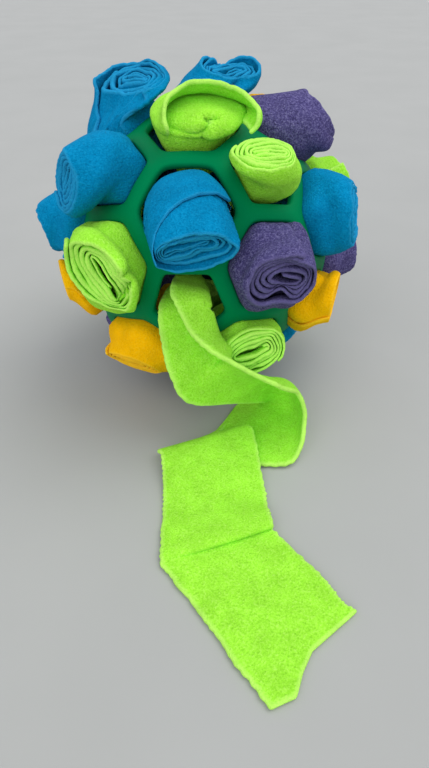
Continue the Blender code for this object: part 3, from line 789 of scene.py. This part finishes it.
firstSeed = 100
for number, (place, row) in enumerate(rolls.items()):
    fleeceRoll(place, row, firstSeed + number)
print("rolls made:", len(rolls))

# The loose strip: its left edge, middle and right edge at each fold or section, in mm from the table
# point under the ball's centre. In the hole it is folded double, with the fold to the right.
# "offBall" is how far its middle stays off the ball from the free station on. "ragged" is how far the
# long edges wander, in waves of "raggedSize" that fade over "raggedFade" into the strip, worked out
# along one column near its middle.
stripShape = {
    "thickness": 2.6, "offBall": 4, "columns": 45, "steps": 16, "freeStation": 2, "ragged": 0.35,
    "raggedSize": 3, "raggedFade": 1.5, "raggedColumn": 20, "raggedSeeds": (71, 72)}
stripStations = (
    ((-10, -46, 87), (-1, -47, 85), (-14, -45, 80)),
    ((-13, -62, 90), (3, -62, 86), (-18, -60, 81)),
    ((-12.5, -80, 91), (5, -77, 84), (-20, -77, 80)),
    ((-3.5, -91, 77), (9, -78, 66), (-18.5, -84, 64)),
    ((5, -97, 71), (14.5, -81, 57), (-15, -91, 52)),
    ((24, -99, 59), (9.1, -86.3, 48.7), (-6, -93, 34)),
    ((43, -95, 45), (31.1, -80.3, 39.4), (20, -80, 23)),
    ((54, -85, 32), (46.4, -68.4, 27.4), (36, -66, 12)),
    ((58, -90, 17), (54.4, -69.6, 8.5), (37, -56, 4.5)),
    ((51, -107, 4), (42.3, -80.8, 1.6), (32, -55, 2.8)),
    ((31, -108, 1.8), (29.5, -82, 1.7), (28, -56, 1.6)),
    ((4, -106, 1.6), (13, -82, 1.6), (22, -58, 1.6)),
    ((-14, -103.5, 1.6), (1, -91, 1.6), (16, -74, 1.6)),
    ((-22, -101.5, 4.6), (-6.5, -94.5, 4.7), (10, -87, 4.8)),
    ((-21.8, -104.5, 7.6), (-2, -97, 8.2), (18, -87, 8)),
    ((-20.5, -108, 7.8), (4, -98, 9.2), (27, -86, 9)),
    ((-19.5, -114, 6), (5.3, -104, 7.9), (29.5, -93, 7.5)),
    ((-18.5, -124, 3), (6.5, -116.2, 5), (31, -108, 5)),
    ((-17.5, -138, 1.6), (7.8, -133, 2.2), (33, -128, 1.8)),
    ((-17.3, -155, 2.1), (8.2, -149, 3.8), (33.5, -142, 4)),
    ((-17, -166.5, 2.4), (9.4, -158.3, 5), (34.6, -148.4, 5.2)),
    ((-16.6, -169.6, 2.2), (10.4, -162.2, 4.7), (35.4, -152.4, 4.7)),
    ((-16, -171.4, 1.8), (10.4, -161.4, 2.7), (35.4, -151.4, 2.7)),
    ((-15, -174, 1.6), (11.6, -165, 1.6), (36.6, -155, 1.6)),
    ((2.6, -197, 1.6), (29.3, -188.5, 1.6), (56, -180, 1.6)),
    ((13, -213, 1.6), (37.5, -202, 1.6), (62, -191, 1.6)),
    ((19, -221, 1.6), (43.2, -208.5, 1.6), (67.5, -196, 1.6)),
)
# the cut of the strip's end: share across, and mm further out
stripTongue = ((0, 17), (0.17, 18), (0.33, 11), (0.5, 5.5), (1, 0))


def smoothRows(rows):
    # Catmull-Rom curve through the rows
    rows = np.array(rows, dtype=float)
    padded = np.vstack((2 * rows[0] - rows[1], rows, 2 * rows[-1] - rows[-2]))
    t = (np.arange(stripShape["steps"]) / stripShape["steps"])[None, :, None]
    before, start, end, after = (padded[i:len(padded) - 3 + i, None, :] for i in range(4))
    curve = (
        start + 0.5 * t * (end - before) + t**2 * (before - 2.5 * start + 2 * end - 0.5 * after)
        + t**3 * (1.5 * (start - end) + 0.5 * (after - before)))
    return np.vstack((curve.reshape(-1, rows.shape[1]), rows[-1]))


def looseStrip():
    # Each row is a parabola from the left edge through the middle to the right edge. Rows that come
    # too near the ball are moved straight out, and the last ones are drawn out to the cut end.
    left, middle, right = (
        smoothRows([station[i] for station in stripStations])[:, None] for i in range(3))
    across = np.linspace(0, 1, stripShape["columns"])
    s = across[:, None]
    control = 2 * middle - (left + right) / 2
    rows = (1 - s) ** 2 * left + 2 * s * (1 - s) * control + s**2 * right
    rows[..., 2] += tableHeight
    hanging = rows[stripShape["freeStation"] * stripShape["steps"]:]
    reach = np.linalg.norm(hanging, axis=2, keepdims=True)
    hanging *= np.maximum(1, (ballShape["radius"] + stripShape["offBall"]) / reach)
    heading = unit(rows[-1] - rows[-2])
    past = np.interp(across, *zip(*stripTongue))
    stretched = 2 * stripShape["steps"]
    fade = np.arange(1, stretched + 1)[:, None] / stretched
    rows[-stretched:] += heading * (past * fade)[..., None]
    sideways = unit(rows[:, -1] - rows[:, 0])[:, None]
    middleRun = np.diff(rows[:, stripShape["raggedColumn"]], axis=0)
    run = np.append(0, np.cumsum(np.linalg.norm(middleRun, axis=1)))[:, None]
    for toEdge, seed in zip((across, 1 - across), stripShape["raggedSeeds"]):
        fade = np.exp(-rollShape["width"] * toEdge / stripShape["raggedFade"])
        ragged = stripShape["ragged"] * ripples(run, 0, stripShape["raggedSize"], seed) * fade
        rows += sideways * ragged[..., None]
    thickness = np.full(rows.shape[:2], float(stripShape["thickness"]))
    piece = closedCloth("fleece_loose_strip", rows, thickness, "lime_fleece", "loose_strip")


looseStrip()
print("loose strip made")

# Plain pale table, soft light from above and from the front, and the camera at the photograph's angle.
# "tableSize" is in metres, "clouds" the table's mottling: how many to a metre, darkest and palest.
# A light's "width" is in degrees; the camera's "place" is in mm from the ball's centre.
stage = {
    "tableColour": "#A9AAA6", "tableSize": 12, "clouds": (9.0, 0.97, 1.02), "skyColour": "#F4F6FF",
    "skyStrength": 0.75}
lights = {
    "key": {"from": (0.45, 0.1, 0.9), "width": 50, "strength": 1.3},
    "front": {"from": (-0.35, -1.0, 0.72), "width": 60, "strength": 1.05}}
viewpoint = {
    "place": (7.6, -332.9, 148.3), "tilt": 52, "focalPixels": 580, "frameHeight": 768, "sensor": 24}


def paleTable():
    # matt painted board: an even pale grey with no gloss, very slightly clouded by one coarse noise
    perMetre, darkest, palest = stage["clouds"]
    made, tree, place, shader = newMaterial("matt_painted_board")
    cloud = addNode(tree, "ShaderNodeTexNoise", {"Vector": place, "Scale": perMetre, "Detail": 3.0})
    tone = stretch(tree, cloud.outputs["Fac"], darkest, palest)
    colour = addNode(tree, "ShaderNodeVectorMath", {
        0: toLinear(stage["tableColour"])[:3], "Scale": tone}, operation="SCALE")
    tree.links.new(colour.outputs["Vector"], shader.inputs["Base Color"])
    shader.inputs["Roughness"].default_value = 0.8
    half = stage["tableSize"] / 2
    mesh = bpy.data.meshes.new("table_top")
    corners = [(-half, -half, 0), (half, -half, 0), (half, half, 0), (-half, half, 0)]
    mesh.from_pydata(corners, [], [(0, 1, 2, 3)])
    mesh.materials.append(made)
    top = bpy.data.objects.new("table_top", mesh)
    bpy.context.scene.collection.objects.link(top)


def softLight():
    # a pale sky all round, and two wide suns that each shine from their own direction
    world = bpy.data.worlds.new("soft_room")
    bpy.context.scene.world = world
    world.use_nodes = True
    sky = world.node_tree.nodes["Background"]
    sky.inputs["Color"].default_value = toLinear(stage["skyColour"])
    sky.inputs["Strength"].default_value = stage["skyStrength"]
    for name, look in lights.items():
        lamp = bpy.data.lights.new(name, "SUN")
        lamp.energy = look["strength"]
        lamp.angle = math.radians(look["width"])
        light = bpy.data.objects.new(name, lamp)
        light.rotation_euler = Vector(look["from"]).to_track_quat("Z", "Y").to_euler()
        bpy.context.scene.collection.objects.link(light)


def photoCamera():
    # its focal length is the fitted one in pixels, as a share of the frame's height
    lens = bpy.data.cameras.new("camera")
    lens.sensor_fit = "VERTICAL"
    lens.sensor_height = viewpoint["sensor"]
    lens.lens = viewpoint["focalPixels"] / viewpoint["frameHeight"] * viewpoint["sensor"]
    lens.clip_start = 0.01
    camera = bpy.data.objects.new("camera", lens)
    camera.location = Vector((ballCentre + viewpoint["place"]) * mm)
    camera.rotation_euler = (math.radians(viewpoint["tilt"]), 0, 0)
    bpy.context.scene.collection.objects.link(camera)
    bpy.context.scene.camera = camera


paleTable()
softLight()
photoCamera()
bpy.context.scene.view_settings.view_transform = "Standard"
print("stage, light and camera set")
